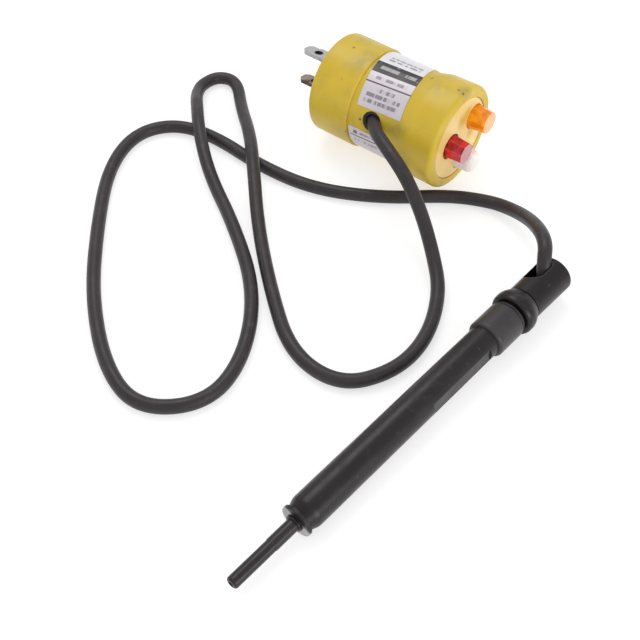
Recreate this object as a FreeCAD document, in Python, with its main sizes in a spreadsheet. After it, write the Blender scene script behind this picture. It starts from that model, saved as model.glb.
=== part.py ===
import FreeCAD, Part
import math
import os
import Sketcher
from FreeCAD import Placement, Rotation, Vector

# Three-lamp plug-in circuit tester: a yellow round body with plug blades at one end and
# lenses at the other, and a black test probe on a cord that comes out of the body's waist.
# Row frame: +X along the tester's axis from the plug face to the lenses, +Z up, and the
# origin on the surface it lies on, under the middle of tester and probe. Millimetres.

doc = FreeCAD.newDocument("CircuitTester")
sheet = doc.addObject("Spreadsheet::Sheet", "Sizes")

DIMENSIONS = {
    # tester body, measured along its axis from the plug face
    "body_length": 58.7, "drum_radius": 20.4, "drum_length": 19.0, "waist_radius": 19.4,
    "waist_end": 40.4, "front_radius": 21.0, "flare_end": 46.2, "spigot_radius": 18.3,
    "waist_bore": 16.6, "front_bore": 18.6, "cover_wall": 3.5, "insert_radius": 16.4,
    "rim_recess_radius": 16.8, "ledge_radius": 16.1, "panel_rear": 54.9, "panel_front": 58.4,
    "ledge_rear": 53.5, "cord_hole_dia": 8.4, "cord_hole_station": 29.8,
    # plug: two parallel blades and a round earth pin, standard straight-blade layout
    "blade_width": 6.35, "blade_thick": 1.5, "blade_reach": 18.2, "blade_tail": 12.0,
    "blade_hole_dia": 3.3, "blade_hole_from_tip": 6.4, "blade_spacing": 12.7,
    "blade_tip_cut": 1.6, "pin_dia": 4.76, "pin_reach": 20.6, "pin_offset": 11.9,
    "insert_depth": 6.5,
    # inside
    "board_rear": 33.0, "board_thick": 1.6, "board_radius": 15.6, "carrier_rear": 51.1,
    "post_dia": 5.0, "stud_dia": 2.5, "lens_dia": 10.2, "lens_nose_dia": 8.7,
    "lens_flange_dia": 11.0, "lens_bore_dia": 5.8, "lens_front": 65.5, "lamp_dia": 5.0,
    # labels
    "label_thick": 0.2, "label_rear": 19.9, "label_front": 39.6, "lower_label_rear": 19.7,
    "lower_label_front": 35.6, "flare_cover": 1.6,
    "flare_rise": "=(front_radius - 0.2 - waist_radius) / (flare_end - waist_end)",
    "label_lift": "=flare_rise * flare_cover",
    # probe, measured along its axis from a point just behind the tip
    "tip_front": -2.3, "tip_dia": 4.3, "sheath_dia": 4.6, "sheath_step": 14.4,
    "flange_front": 33.0, "flange_rear": 36.0, "flange_radius": 3.6,
    "bush_front": 23.3, "bush_dia": 6.0, "washer_front_end": 24.5, "washer_rear_end": 25.7,
    "washer_dia": 11.3, "handle_bore_front": 32.8,
    "spring_front": 36.5, "spring_length": 23.0, "spring_pitch": 2.3, "spring_mean_dia": 5.2,
    "spring_wire_dia": 0.8, "seat_front": 60.0, "needle_end": 64.0, "seat_rear": 72.0,
    "flat_front": 83.0, "flat_length": 30.0, "flat_from_axis": 5.2, "flat_width": 7.0,
    "seal_mean_dia": 11.3, "seal_section_dia": 1.7,
    "nose_dia": 9.2, "nose_length": 3.4, "handle_dia": 11.7, "handle_end": 116.8,
    "collar_dia": 14.1, "collar_end": 129.6, "ring_front": 131.3, "ring_dia": 16.6,
    "ring_rear_dia": 14.0,
    "ring_end": 138.0, "cap_dia": 13.4, "cap_rear_dia": 13.8, "cap_end": 158.3,
    "spigot_dia": 9.6, "handle_bore": 8.0, "needle_dia": 1.4, "sheath_bore": 2.0,
    "cap_bore": 9.8, "slot_width": 8.4, "slot_front": 149.4, "slot_rear": 153.2,
    # cord
    "cord_dia": 5.2,
}
for row, (name, size) in enumerate(DIMENSIONS.items(), start=1):
    sheet.set("A%d" % row, name)
    sheet.set("B%d" % row, str(size))
    sheet.setAlias("B%d" % row, name)
doc.recompute()


def size(name):
    return float(sheet.get(name))


# Where the two rigid groups lie.
TESTER = Placement(Vector(-52.3, 82.7, 21.0), Rotation())
PROBE_HEADING = 85.2
PROBE_RISE = 1.35
PROBE = Placement(Vector(53.1, -103.3, 5.2), Rotation(PROBE_HEADING, -PROBE_RISE, 0))

# The plug face is turned a little about the tester's axis.
PLUG_ROLL = -12.0
LINE_BLADE_AT = (1.9, 6.6)

parts = []


def keep(obj, label):
    """Name a finished sub-part and put it on the list that is written out."""
    obj.Label = label
    parts.append(obj)
    return obj


def new_body(name, place):
    body = doc.addObject("PartDesign::Body", name)
    body.Placement = place
    return body


def new_sketch(body, name, role, offset=None):
    """An empty sketch on one of the body's own origin planes."""
    sketch = body.newObject("Sketcher::SketchObject", name)
    plane = [f for f in body.Origin.OriginFeatures if f.Role == role][0]
    sketch.AttachmentSupport = [(plane, "")]
    sketch.MapMode = "FlatFace"
    if offset is not None:
        sketch.AttachmentOffset = offset
    return sketch


def place_point(sketch, geometry, point, across, up):
    """Tie one point of the sketch to the origin with two sheet expressions."""
    for kind, text in (("DistanceX", across), ("DistanceY", up)):
        index = sketch.addConstraint(
            Sketcher.Constraint(kind, -1, 1, geometry, point, sketch_value(text)))
        sketch.setExpression("Constraints[%d]" % index, cell_text(text))


def cell_text(text):
    """Sheet names in an expression, written as FreeCAD wants them."""
    words = []
    for word in str(text).replace("(", " ( ").replace(")", " ) ").split():
        words.append("Sizes." + word if word in DIMENSIONS else word)
    return " ".join(words)


def sketch_value(text):
    """The number that an expression of sheet names gives now."""
    result, sign = 0.0, 1.0
    factor = None
    for word in str(text).split():
        if word in "+-":
            sign = -1.0 if word == "-" else 1.0
            factor = None
        elif word == "/":
            factor = "/"
        else:
            number = size(word) if word in DIMENSIONS else float(word)
            if factor == "/":
                result += last * (1.0 / number - 1.0)
            else:
                last = sign * number
                result += last
            factor = None
    return result


def polygon(sketch, points):
    """A closed outline whose corners are sheet expressions."""
    values = [Vector(sketch_value(a), sketch_value(b), 0) for a, b in points]
    count = len(values)
    for i in range(count):
        sketch.addGeometry(Part.LineSegment(values[i], values[(i + 1) % count]))
    for i in range(count):
        sketch.addConstraint(Sketcher.Constraint("Coincident", i, 2, (i + 1) % count, 1))
    for i, (across, up) in enumerate(points):
        place_point(sketch, i, 1, across, up)


def circles(sketch, spots):
    """Circles at (across, up, diameter), each a sheet expression."""
    for across, up, diameter in spots:
        index = sketch.addGeometry(
            Part.Circle(Vector(sketch_value(across), sketch_value(up), 0),
                        Vector(0, 0, 1), sketch_value(diameter) / 2))
        place_point(sketch, index, 3, across, up)
        bound = sketch.addConstraint(
            Sketcher.Constraint("Diameter", index, sketch_value(diameter)))
        sketch.setExpression("Constraints[%d]" % bound, cell_text(diameter))


def turn(body, name, outline, angle=360.0):
    """Revolve an outline of (station, radius) about the body's X axis."""
    sketch = new_sketch(body, name + "Outline", "XY_Plane")
    polygon(sketch, outline)
    feature = body.newObject("PartDesign::Revolution", name)
    feature.Profile = sketch
    feature.ReferenceAxis = (sketch, ["H_Axis"])
    feature.Angle = angle
    doc.recompute()
    return feature


def round_edges(body, name, base, rings, radius):
    """Fillet the circular edges at the given (station, radius) pairs."""
    found = []
    for number, edge in enumerate(base.Shape.Edges, start=1):
        curve = edge.Curve
        if not isinstance(curve, Part.Circle):
            continue
        for station, ring in rings:
            if abs(curve.Center.x - station) < 1e-3 and abs(curve.Radius - ring) < 1e-3:
                found.append("Edge%d" % number)
    feature = body.newObject("PartDesign::Fillet", name)
    feature.Base = (base, found)
    feature.Radius = radius
    doc.recompute()
    return feature


def cut_through(body, name, station, draw, roll=0.0, depth=None):
    """Pocket along +X, from the plane at a station, of what draw() puts in the sketch."""
    before = body.Shape.Volume
    offset = Placement(Vector(0, 0, station), Rotation(Vector(0, 0, 1), roll))
    sketch = new_sketch(body, name + "Outline", "YZ_Plane", offset)
    draw(sketch)
    feature = body.newObject("PartDesign::Pocket", name)
    feature.Profile = sketch
    feature.Reversed = True
    if depth is None:
        feature.Type = "ThroughAll"
    else:
        feature.Length = depth
    doc.recompute()
    if body.Shape.Volume > before - 1e-6:
        raise RuntimeError(name + " cut nothing")
    return feature


def turned_part(label, place, outline, rounds=()):
    """A whole sub-part that is one revolved outline with rounded edges."""
    body = new_body(label.title().replace("_", ""), place)
    base = turn(body, label.title().replace("_", "") + "Turn", outline)
    for number, (rings, radius) in enumerate(rounds):
        base = round_edges(body, "%sRound%d" % (label.title().replace("_", ""), number),
                           base, rings, radius)
    return keep(body, label)


def tube_along(points, radius):
    """Sweep a round section along straight runs joined by tangent arcs; print the radii."""
    edges, radii, start = [], [], Vector(*points[0])
    length = 0.0
    for before, corner, after in zip(points, points[1:], points[2:]):
        a, b, c = Vector(*before), Vector(*corner), Vector(*after)
        back, ahead = (a - b), (c - b)
        shorter = min(back.Length, ahead.Length)
        half_turn = (math.pi - back.getAngle(ahead)) / 2
        bend = 0.45 * shorter / math.tan(half_turn)
        radii.append(bend)
        back.normalize()
        ahead.normalize()
        first = b + back * (0.45 * shorter)
        last = b + ahead * (0.45 * shorter)
        middle_way = (back + ahead).normalize()
        centre = b + middle_way * (bend / math.cos(half_turn))
        middle = centre - middle_way * bend
        edges.append(Part.LineSegment(start, first).toShape())
        edges.append(Part.Arc(first, middle, last).toShape())
        length += (first - start).Length + bend * 2 * half_turn
        start = last
    edges.append(Part.LineSegment(start, Vector(*points[-1])).toShape())
    length += (Vector(*points[-1]) - start).Length
    path = Part.Wire(edges)
    direction = Vector(*points[1]) - Vector(*points[0])
    section = Part.Wire(Part.Circle(Vector(*points[0]), direction, radius).toShape())
    solid = path.makePipeShell([section], True, True)
    expected = math.pi * radius ** 2 * length
    if abs(solid.Volume - expected) > 0.01 * expected:
        raise RuntimeError("the tube's volume is %.1f, not %.1f" % (solid.Volume, expected))
    return solid, length, radii


# ---------------------------------------------------------------- tester body

def make_rear_cover():
    body = new_body("RearCover", TESTER)
    base = turn(body, "RearCoverTurn", [
        ("0", "insert_radius"), ("0", "drum_radius"), ("drum_length", "drum_radius"),
        ("drum_length", "spigot_radius"), ("cover_wall", "spigot_radius"),
        ("cover_wall", "insert_radius")])
    base = round_edges(body, "RearCoverNose", base, [(0, size("drum_radius"))], 1.4)
    round_edges(body, "RearCoverLip", base,
                [(size("drum_length"), size("drum_radius"))], 0.7)
    keep(body, "rear_cover")


WAIST_ROUND = 4.0


def make_main_housing():
    body = new_body("Housing", TESTER)
    base = turn(body, "HousingTurn", [
        ("cover_wall + 0.1", "waist_bore"), ("cover_wall + 0.1", "spigot_radius"),
        ("drum_length", "spigot_radius"), ("drum_length", "waist_radius"),
        ("waist_end", "waist_radius"), ("flare_end", "front_radius - 0.2"),
        ("body_length", "front_radius"), ("body_length", "rim_recess_radius"),
        ("panel_rear", "rim_recess_radius"), ("panel_rear", "ledge_radius"),
        ("ledge_rear", "ledge_radius"), ("ledge_rear", "front_bore"),
        ("waist_end + 3", "front_bore"), ("waist_end + 1", "waist_bore")])
    base = round_edges(body, "HousingWaist", base,
                       [(size("waist_end"), size("waist_radius"))], WAIST_ROUND)
    base = round_edges(body, "HousingFlare", base,
                       [(size("flare_end"), size("front_radius") - 0.2)], 10.0)
    base = round_edges(body, "HousingRim", base,
                       [(size("body_length"), size("front_radius"))], 1.8)
    round_edges(body, "HousingRimInner", base,
                [(size("body_length"), size("rim_recess_radius"))], 0.25)
    tool = doc.addObject("Part::Cylinder", "CordHoleTool")
    tool.setExpression("Radius", "Sizes.cord_hole_dia / 2")
    tool.Height = 12
    tool.Placement = radial_place(size("cord_hole_station"), 12.0)
    housing = doc.addObject("Part::Cut", "MainHousing")
    housing.Base = body
    housing.Tool = tool
    keep(housing, "main_housing")


CORD_HOLE_ANGLE = 74.0


def radial_place(station, radius):
    """Local +Z points out through the cord hole, starting at a radius on the axis line."""
    lean = Rotation(Vector(1, 0, 0), CORD_HOLE_ANGLE)
    outward = lean.multVec(Vector(0, 0, 1))
    return TESTER * Placement(Vector(station, 0, 0) + outward * radius, lean)


def make_lens_panel():
    body = new_body("LensPanel", TESTER)
    base = turn(body, "LensPanelTurn", [
        ("panel_rear", "0"), ("panel_rear", "rim_recess_radius - 0.15"),
        ("panel_front", "rim_recess_radius - 0.15"), ("panel_front", "0")])
    round_edges(body, "LensPanelRound", base,
                [(size("panel_front"), size("rim_recess_radius") - 0.15)], 0.3)
    cut_through(body, "LensHoles", size("panel_rear") - 1, lambda sketch: circles(
        sketch, [(y, z, "lens_dia + 0.3") for y, z in LENS_SPOTS.values()]))
    keep(body, "lens_panel")


# Lens centres and post centres across the axis (y, z).
LENS_SPOTS = {"amber": ("9.2", "4.9"), "red": ("-6.2", "0.0"), "white": ("2.2", "-10.2")}
GROMMET_NOTCH = ("-16.2", "4.7", "9.4")
POST_SPOTS = [("-9.8", "-7.5"), ("-4.0", "11.2"), ("10.2", "-8.6")]


def make_plug_insert():
    body = new_body("PlugInsert", TESTER)
    turn(body, "PlugInsertTurn", [
        ("0", "0"), ("0", "insert_radius - 0.1"), ("cover_wall", "insert_radius - 0.1"),
        ("cover_wall", "waist_bore - 0.05"), ("insert_depth", "waist_bore - 0.05"),
        ("insert_depth", "0")])

    def slots(sketch):
        for number, (across, up) in enumerate(blade_centres()):
            first = 4 * number
            half_w, half_t = size("blade_width") / 2, size("blade_thick") / 2
            corners = [Vector(across + i * half_w, up + j * half_t, 0)
                       for i, j in ((-1, -1), (1, -1), (1, 1), (-1, 1))]
            for i in range(4):
                sketch.addGeometry(Part.LineSegment(corners[i], corners[(i + 1) % 4]))
            for i in range(4):
                sketch.addConstraint(Sketcher.Constraint(
                    "Coincident", first + i, 2, first + (i + 1) % 4, 1))

    cut_through(body, "BladeSlots", -1.0, slots, roll=PLUG_ROLL)
    pin_y, pin_z = pin_centre()
    cut_through(body, "PinHole", -1.0, lambda sketch: circles(
        sketch, [("%.4f" % pin_y, "%.4f" % pin_z, "pin_dia - 0.4")]), roll=PLUG_ROLL)
    cut_through(body, "ScrewHoles", -1.0, lambda sketch: circles(
        sketch, [(y, z, "stud_dia + 0.2") for y, z in POST_SPOTS]))
    keep(body, "plug_insert")


def plug_point(y, z):
    """A point across the axis, turned into the plug's own rolled frame."""
    point = Rotation(Vector(0, 0, 1), -PLUG_ROLL).multVec(Vector(y, z, 0))
    return point.x, point.y


def blade_centres():
    across, up = plug_point(*LINE_BLADE_AT)
    return [(across, up), (across, up - size("blade_spacing"))]


def pin_centre():
    across, up = plug_point(*LINE_BLADE_AT)
    return across + size("pin_offset"), up - size("blade_spacing") / 2


def plug_place(across, up, start):
    """Place a prong whose tip is its local origin, in the plug's rolled frame."""
    roll = Rotation(Vector(1, 0, 0), PLUG_ROLL)
    centre = roll.multVec(Vector(0, across, up))
    return TESTER * Placement(Vector(start, 0, 0) + centre, roll)


def make_blade(label, across, up):
    name = label.title().replace("_", "")
    body = new_body(name, plug_place(across, up, -size("blade_reach")))
    sketch = new_sketch(body, name + "Outline", "XY_Plane")
    polygon(sketch, [
        ("blade_tip_cut", "blade_width / 2"), ("blade_reach + insert_depth", "blade_width / 2"),
        ("blade_reach + insert_depth", "2.0"), ("blade_reach + blade_tail", "2.0"),
        ("blade_reach + blade_tail", "-2.0"), ("blade_reach + insert_depth", "-2.0"),
        ("blade_reach + insert_depth", "0 - blade_width / 2"),
        ("blade_tip_cut", "0 - blade_width / 2"), ("0", "-1.6"), ("0", "1.6")])
    pad = body.newObject("PartDesign::Pad", name + "Pad")
    pad.Profile = sketch
    pad.Midplane = True
    pad.setExpression("Length", "Sizes.blade_thick")
    doc.recompute()
    hole_sketch = new_sketch(body, name + "HoleOutline", "XY_Plane")
    circles(hole_sketch, [("blade_hole_from_tip", "0", "blade_hole_dia")])
    hole = body.newObject("PartDesign::Pocket", name + "Hole")
    hole.Profile = hole_sketch
    hole.Type = "ThroughAll"
    hole.Midplane = True
    doc.recompute()
    keep(body, label)


def make_ground_pin():
    across, up = pin_centre()
    turned_part("ground_pin", plug_place(across, up, -size("pin_reach")), [
        ("0", "0"), ("0", "pin_dia / 2"), ("pin_reach", "pin_dia / 2"),
        ("pin_reach", "pin_dia / 2 - 0.2"),
        ("pin_reach + insert_depth", "pin_dia / 2 - 0.2"), ("pin_reach + insert_depth", "1.4"),
        ("pin_reach + blade_tail", "1.4"),
        ("pin_reach + blade_tail", "0")],
        [([(0, size("pin_dia") / 2)], 1.9)])


# ---------------------------------------------------------------- inside the tester

def make_disc(label, rear, front, radius, holes):
    """A flat disc across the axis with round holes."""
    name = label.title().replace("_", "")
    body = new_body(name, TESTER)
    turn(body, name + "Turn", [(rear, "0"), (rear, radius), (front, radius), (front, "0")])
    cut_through(body, name + "Holes", sketch_value(rear) - 1,
                lambda sketch: circles(sketch, holes))
    keep(body, label)


def group(label, shapes):
    """Identical pieces that share one node, each a solid of its own."""
    obj = doc.addObject("Part::Feature", label.title().replace("_", ""))
    obj.Shape = Part.makeCompound(shapes)
    obj.Placement = TESTER
    return keep(obj, label)


def rod(y, z, start, end, radius):
    return Part.makeCylinder(radius, end - start, Vector(start, y, z), Vector(1, 0, 0))


def make_posts_and_screws():
    post, stud = size("post_dia") / 2, size("stud_dia") / 2
    board, board_top = size("board_rear"), size("board_rear") + size("board_thick")
    carrier, ledge = size("carrier_rear"), size("ledge_rear")
    spots = [(float(y), float(z)) for y, z in POST_SPOTS]
    rear, front, screws, nuts = [], [], [], []
    for y, z in spots:
        bore = rod(y, z, size("insert_depth"), board, stud + 0.05)
        rear.append(rod(y, z, size("insert_depth"), board, post).cut(bore))
        spacer = rod(y, z, board_top, carrier, post)
        spacer = spacer.fuse(rod(y, z, board - 4, board_top, stud))
        front.append(spacer.fuse(rod(y, z, carrier, ledge + 1.2, stud)).removeSplitter())
        shank = rod(y, z, 0, size("insert_depth") + 8, stud)
        head = rod(y, z, -1.5, 0, 2.3)
        slot = Part.makeBox(0.7, 5.2, 0.7, Vector(-1.5, y - 2.6, z - 0.35))
        screws.append(shank.fuse(head).removeSplitter().cut(slot))
        corners = [Vector(ledge, y + 2.4 * math.cos(math.radians(60 * i)),
                          z + 2.4 * math.sin(math.radians(60 * i))) for i in range(7)]
        nut = Part.Face(Part.makePolygon(corners)).extrude(Vector(1.3, 0, 0))
        nuts.append(nut.cut(rod(y, z, ledge - 1, ledge + 2, stud)))
    group("rear_posts", rear)
    group("front_posts", front)
    group("plug_screws", screws)
    group("carrier_nuts", nuts)


def make_resistors():
    board_top = size("board_rear") + size("board_thick")
    bodies = []
    for y, z in ((3.0, -1.0), (4.8, 9.8), (1.0, -5.6)):
        centre = Vector(board_top + 2.2, y - 4.0, z)
        body = Part.makeCylinder(1.8, 8.0, centre, Vector(0, 1, 0))
        for end in (-1.2, 9.2):
            leg = rod(y - 4.0 + end, z, board_top, board_top + 2.2, 0.35)
            reach = 1.4 if end < 0 else -1.4
            arm = Part.makeCylinder(0.35, 1.4, Vector(board_top + 2.2, y - 4.0 + end, z),
                                    Vector(0, reach, 0))
            body = body.fuse(leg).fuse(arm)
        bodies.append(body.removeSplitter())
    group("lamp_resistors", bodies)


def make_lamp(colour):
    """Neon lamp: a glass tube with a rounded end on two wire legs from the board."""
    y, z = (float(v) for v in LENS_SPOTS[colour])
    glass, front = size("lamp_dia") / 2, size("lens_front") - 4.0
    bulb = rod(y, z, size("carrier_rear") - 4, front, glass)
    edges = [e for e in bulb.Edges if abs(e.BoundBox.XMin - front) < 1e-6]
    bulb = bulb.makeFillet(1.8, edges[:1])
    for side in (-1.0, 1.0):
        leg = rod(y, z + side, size("board_rear") + size("board_thick"),
                  size("carrier_rear") - 3, 0.35)
        bulb = bulb.fuse(leg)
    group(colour + "_lamp", [bulb.removeSplitter()])


def lens_place(colour):
    y, z = (float(v) for v in LENS_SPOTS[colour])
    return TESTER * Placement(Vector(size("ledge_rear"), y, z), Rotation())


def make_round_lens(colour, nose):
    """Moulded lens: a flange behind the panel, a hollow stem and a rounded nose."""
    reach = "lens_front - ledge_rear"
    turned_part(colour + "_lens", lens_place(colour), [
        ("0", "lens_bore_dia / 2"), ("0", "lens_flange_dia / 2"),
        ("1.4", "lens_flange_dia / 2"), ("1.4", "lens_dia / 2"), (reach, "lens_nose_dia / 2"),
        (reach, "0"), (reach + " - 1.6", "0"), (reach + " - 1.6", "lens_bore_dia / 2")],
        [([(size("lens_front") - size("ledge_rear"), size("lens_nose_dia") / 2)], nose)])


def make_faceted_lens(colour, sides):
    """Lens with flat facets round its tapered stem and a flat front."""
    name = colour.title() + "Lens"
    reach = size("lens_front") - size("ledge_rear")
    body = new_body(name, lens_place(colour))
    turn(body, name + "Turn", [
        ("0", "0"), ("0", "lens_flange_dia / 2"), ("1.4", "lens_flange_dia / 2"),
        ("1.4", "0")])
    sketch = new_sketch(body, name + "Stem", "YZ_Plane", Placement(Vector(0, 0, 1.4), Rotation()))
    corner = size("lens_dia") / 2
    for i in range(sides):
        a, b = (2 * math.pi * (i + k + 0.5) / sides for k in (0, 1))
        sketch.addGeometry(Part.LineSegment(
            Vector(corner * math.cos(a), corner * math.sin(a), 0),
            Vector(corner * math.cos(b), corner * math.sin(b), 0)))
    for i in range(sides):
        sketch.addConstraint(Sketcher.Constraint("Coincident", i, 2, (i + 1) % sides, 1))
    pad = body.newObject("PartDesign::Pad", name + "Pad")
    pad.Profile = sketch
    pad.Length = reach - 1.4
    narrowing = (size("lens_dia") - size("lens_nose_dia")) / 2
    pad.TaperAngle = -math.degrees(math.atan(narrowing / (reach - 1.4)))
    doc.recompute()
    cut_through(body, name + "Bore", 0.0, lambda s: circles(
        s, [("0", "0", "lens_bore_dia")]), depth=reach - 1.6)
    keep(body, colour + "_lens")


def make_wires():
    """Short leads from the prongs' tails to the board."""
    roll = Rotation(Vector(1, 0, 0), PLUG_ROLL)
    spots = [roll.multVec(Vector(0, a, b + 1.55)) for a, b in blade_centres()]
    pin = roll.multVec(Vector(0, pin_centre()[0], pin_centre()[1]))
    wires = [rod(p.y, p.z, size("blade_tail") - 3.5, size("board_rear"), 0.8) for p in spots]
    wires.append(rod(pin.y, pin.z, size("blade_tail"), size("board_rear"), 0.8))
    group("plug_wires", wires)


def wrap(name, first, last, outline):
    """A piece of shell round the tester's axis, between two angles from the top."""
    place = TESTER * Placement(Vector(), Rotation(Vector(1, 0, 0), 90.0 + first))
    body = new_body(name, place)
    turn(body, name + "Turn", outline, last - first)
    return body


def label_trim(name, place, corner):
    """A large block whose corner edge trims one side of a label."""
    block = doc.addObject("Part::Box", name)
    block.Length = 60
    block.Width = 60
    block.Height = 60
    block.Placement = TESTER * place * Placement(Vector(*corner), Rotation())
    return block


LABEL_END_TURN = 6.3
LABEL_FOOT_TURN = 3.2
LABEL_FOOT_ANGLE = 60.2


def make_main_label():
    """Foil label on the waist and the start of the flare, stuck on a little crooked."""
    rounding = WAIST_ROUND * math.tan(math.atan(size("flare_rise")) / 2)
    before = "waist_end - %.4f" % rounding
    after = "waist_end + %.4f" % rounding
    end = "waist_end + flare_cover"
    lift = "%.4f" % (rounding * size("flare_rise"))
    body = wrap("MainLabelWrap", -50.0, 66.0, [
        ("drum_length + 0.1", "waist_radius"), (before, "waist_radius"),
        ("waist_end", "waist_radius + 0.04"), (after, "waist_radius + " + lift),
        (end, "waist_radius + label_lift"), (end, "waist_radius + label_lift + label_thick"),
        (after, "waist_radius + label_thick + " + lift),
        ("waist_end", "waist_radius + label_thick + 0.04"),
        (before, "waist_radius + label_thick"),
        ("drum_length + 0.1", "waist_radius + label_thick")])
    lean = Rotation(Vector(0, 0, 1), LABEL_END_TURN)
    foot = Placement(Vector(), Rotation(Vector(1, 0, 0), LABEL_FOOT_ANGLE)) * Placement(
        Vector((size("label_rear") + size("label_front")) / 2, 0, 0),
        Rotation(Vector(0, 0, 1), LABEL_FOOT_TURN))
    tools = [
        label_trim("LabelRearTrim", Placement(Vector(size("label_rear"), 0, 0), lean),
                   (-60, -30, -30)),
        label_trim("LabelFrontTrim", Placement(Vector(size("label_front"), 0, 0), lean),
                   (0, -30, -30)),
        label_trim("LabelFootTrim", foot, (-30, -60, 0))]
    tool = doc.addObject("Part::MultiFuse", "LabelTrims")
    tool.Shapes = tools
    label = doc.addObject("Part::Cut", "MainLabel")
    label.Base = body
    label.Tool = tool
    keep(label, "main_label")


def make_lower_label():
    outer = "waist_radius + label_thick"
    body = wrap("LowerLabel", 90.0, 142.0, [
        ("lower_label_rear", "waist_radius"), ("lower_label_rear", outer),
        ("lower_label_front", outer), ("lower_label_front", "waist_radius")])
    keep(body, "lower_label")


def make_cord_grommet():
    body = new_body("CordGrommet", radial_place(size("cord_hole_station"), 0.0)
                    * Placement(Vector(), Rotation(Vector(0, 1, 0), -90)))
    turn(body, "CordGrommetTurn", [
        ("14.9", "cord_dia / 2 + 0.4"), ("14.9", "5.0"), ("15.8", "5.0"),
        ("15.8", "cord_hole_dia / 2"), ("18.7", "cord_hole_dia / 2"),
        ("18.7", "cord_dia / 2 + 0.4")])
    keep(body, "cord_grommet")


# ---------------------------------------------------------------- probe

def make_probe():
    turned_part("contact_needle", PROBE, [
        ("tip_front + 1.6", "0.3"), ("tip_front + 3.2", "needle_dia / 2"),
        ("needle_end", "needle_dia / 2"), ("needle_end", "0"), ("tip_front + 1.6", "0")])
    turned_part("probe_sheath", PROBE, [
        ("tip_front", "sheath_bore / 2"), ("tip_front", "tip_dia / 2"),
        ("sheath_step", "tip_dia / 2"),
        ("sheath_step", "sheath_dia / 2"), ("flange_front", "sheath_dia / 2"),
        ("flange_front", "flange_radius"), ("flange_rear", "flange_radius"),
        ("flange_rear", "sheath_bore / 2")],
        [([(size("tip_front"), size("tip_dia") / 2)], 1.0)])
    turned_part("nose_bush", PROBE, [
        ("bush_front", "sheath_dia / 2 + 0.06"), ("bush_front", "bush_dia / 2"),
        ("washer_front_end", "bush_dia / 2"), ("washer_front_end", "sheath_dia / 2 + 0.06")],
        [([(size("bush_front"), size("bush_dia") / 2)], 0.4)])
    turned_part("front_washer", PROBE, [
        ("washer_front_end", "sheath_dia / 2 + 0.06"), ("washer_front_end", "washer_dia / 2"),
        ("washer_rear_end", "washer_dia / 2"), ("washer_rear_end", "sheath_dia / 2 + 0.06")],
        [([(size("washer_front_end"), size("washer_dia") / 2)], 0.2)])
    make_handle()
    turned_part("spring_seat", PROBE, [
        ("seat_front", "needle_dia / 2"), ("seat_front", "handle_bore / 2"),
        ("seat_rear", "handle_bore / 2"), ("seat_rear", "0"), ("needle_end", "0"),
        ("needle_end", "needle_dia / 2")])
    make_spring()
    turned_part("probe_collar", PROBE, [
        ("handle_end", "spigot_dia / 2"), ("handle_end", "collar_dia / 2"),
        ("collar_end", "collar_dia / 2"), ("collar_end", "spigot_dia / 2")],
        [([(size("handle_end"), size("collar_dia") / 2)], 1.1),
         ([(size("collar_end"), size("collar_dia") / 2)], 0.9)])
    make_seal_ring()
    turned_part("coupling_ring", PROBE, [
        ("ring_front", "spigot_dia / 2"), ("ring_front", "ring_dia / 2 - 0.4"),
        ("ring_front + 1.4", "ring_dia / 2"), ("ring_front + 3.2", "ring_dia / 2"),
        ("ring_front + 4.4", "ring_dia / 2 - 0.3"), ("ring_end", "ring_rear_dia / 2"),
        ("ring_end", "spigot_dia / 2")],
        [([(size("ring_front"), size("ring_dia") / 2 - 0.4)], 1.0)])
    make_rear_cap()


FLAT_TURN = -4.0
FLAT_TOOL_DEPTH = 3.0


def make_handle():
    """Grip tube with a thinner spigot at the rear and a shallow flat along one side."""
    body = new_body("Handle", PROBE)
    base = turn(body, "HandleTurn", [
        ("washer_rear_end", "sheath_dia / 2 + 0.06"), ("washer_rear_end", "nose_dia / 2"),
        ("washer_rear_end + nose_length", "handle_dia / 2"), ("handle_end", "handle_dia / 2"),
        ("handle_end", "spigot_dia / 2"), ("ring_end + 3", "spigot_dia / 2"),
        ("ring_end + 3", "handle_bore / 2 - 1"), ("110", "handle_bore / 2 - 1"),
        ("110", "handle_bore / 2"), ("handle_bore_front", "handle_bore / 2"),
        ("handle_bore_front", "sheath_dia / 2 + 0.06")])
    nose_end = size("washer_rear_end") + size("nose_length")
    round_edges(body, "HandleNose", base, [(nose_end, size("handle_dia") / 2)], 5.0)
    tool = doc.addObject("Part::Box", "GripFlatTool")
    tool.setExpression("Length", "Sizes.flat_length")
    tool.Width = FLAT_TOOL_DEPTH
    tool.setExpression("Height", "Sizes.flat_width")
    turned = Placement(Vector(size("flat_front"), 0, 0), Rotation(Vector(1, 0, 0), FLAT_TURN))
    corner = Vector(0, -size("flat_from_axis") - FLAT_TOOL_DEPTH, -size("flat_width") / 2)
    tool.Placement = PROBE * turned * Placement(corner, Rotation())
    handle = doc.addObject("Part::Cut", "ProbeHandle")
    handle.Base = body
    handle.Tool = tool
    keep(handle, "probe_handle")


def make_spring():
    """Compression spring round the needle, between the sheath's flange and the seat."""
    helix = doc.addObject("Part::Helix", "SpringPath")
    helix.setExpression("Pitch", "Sizes.spring_pitch")
    helix.setExpression("Height", "Sizes.spring_length")
    helix.setExpression("Radius", "Sizes.spring_mean_dia / 2")
    wire = doc.addObject("Part::Circle", "SpringWire")
    wire.setExpression("Radius", "Sizes.spring_wire_dia / 2")
    wire.Placement = Placement(
        Vector(size("spring_mean_dia") / 2, 0, 0), Rotation(Vector(1, 0, 0), 90))
    sweep = doc.addObject("Part::Sweep", "SheathSpring")
    sweep.Sections = [wire]
    sweep.Spine = (helix, [])
    sweep.Solid = True
    sweep.Frenet = True
    sweep.Placement = PROBE * Placement(
        Vector(size("spring_front"), 0, 0), Rotation(Vector(0, 1, 0), 90))
    keep(sweep, "sheath_spring")


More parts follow.
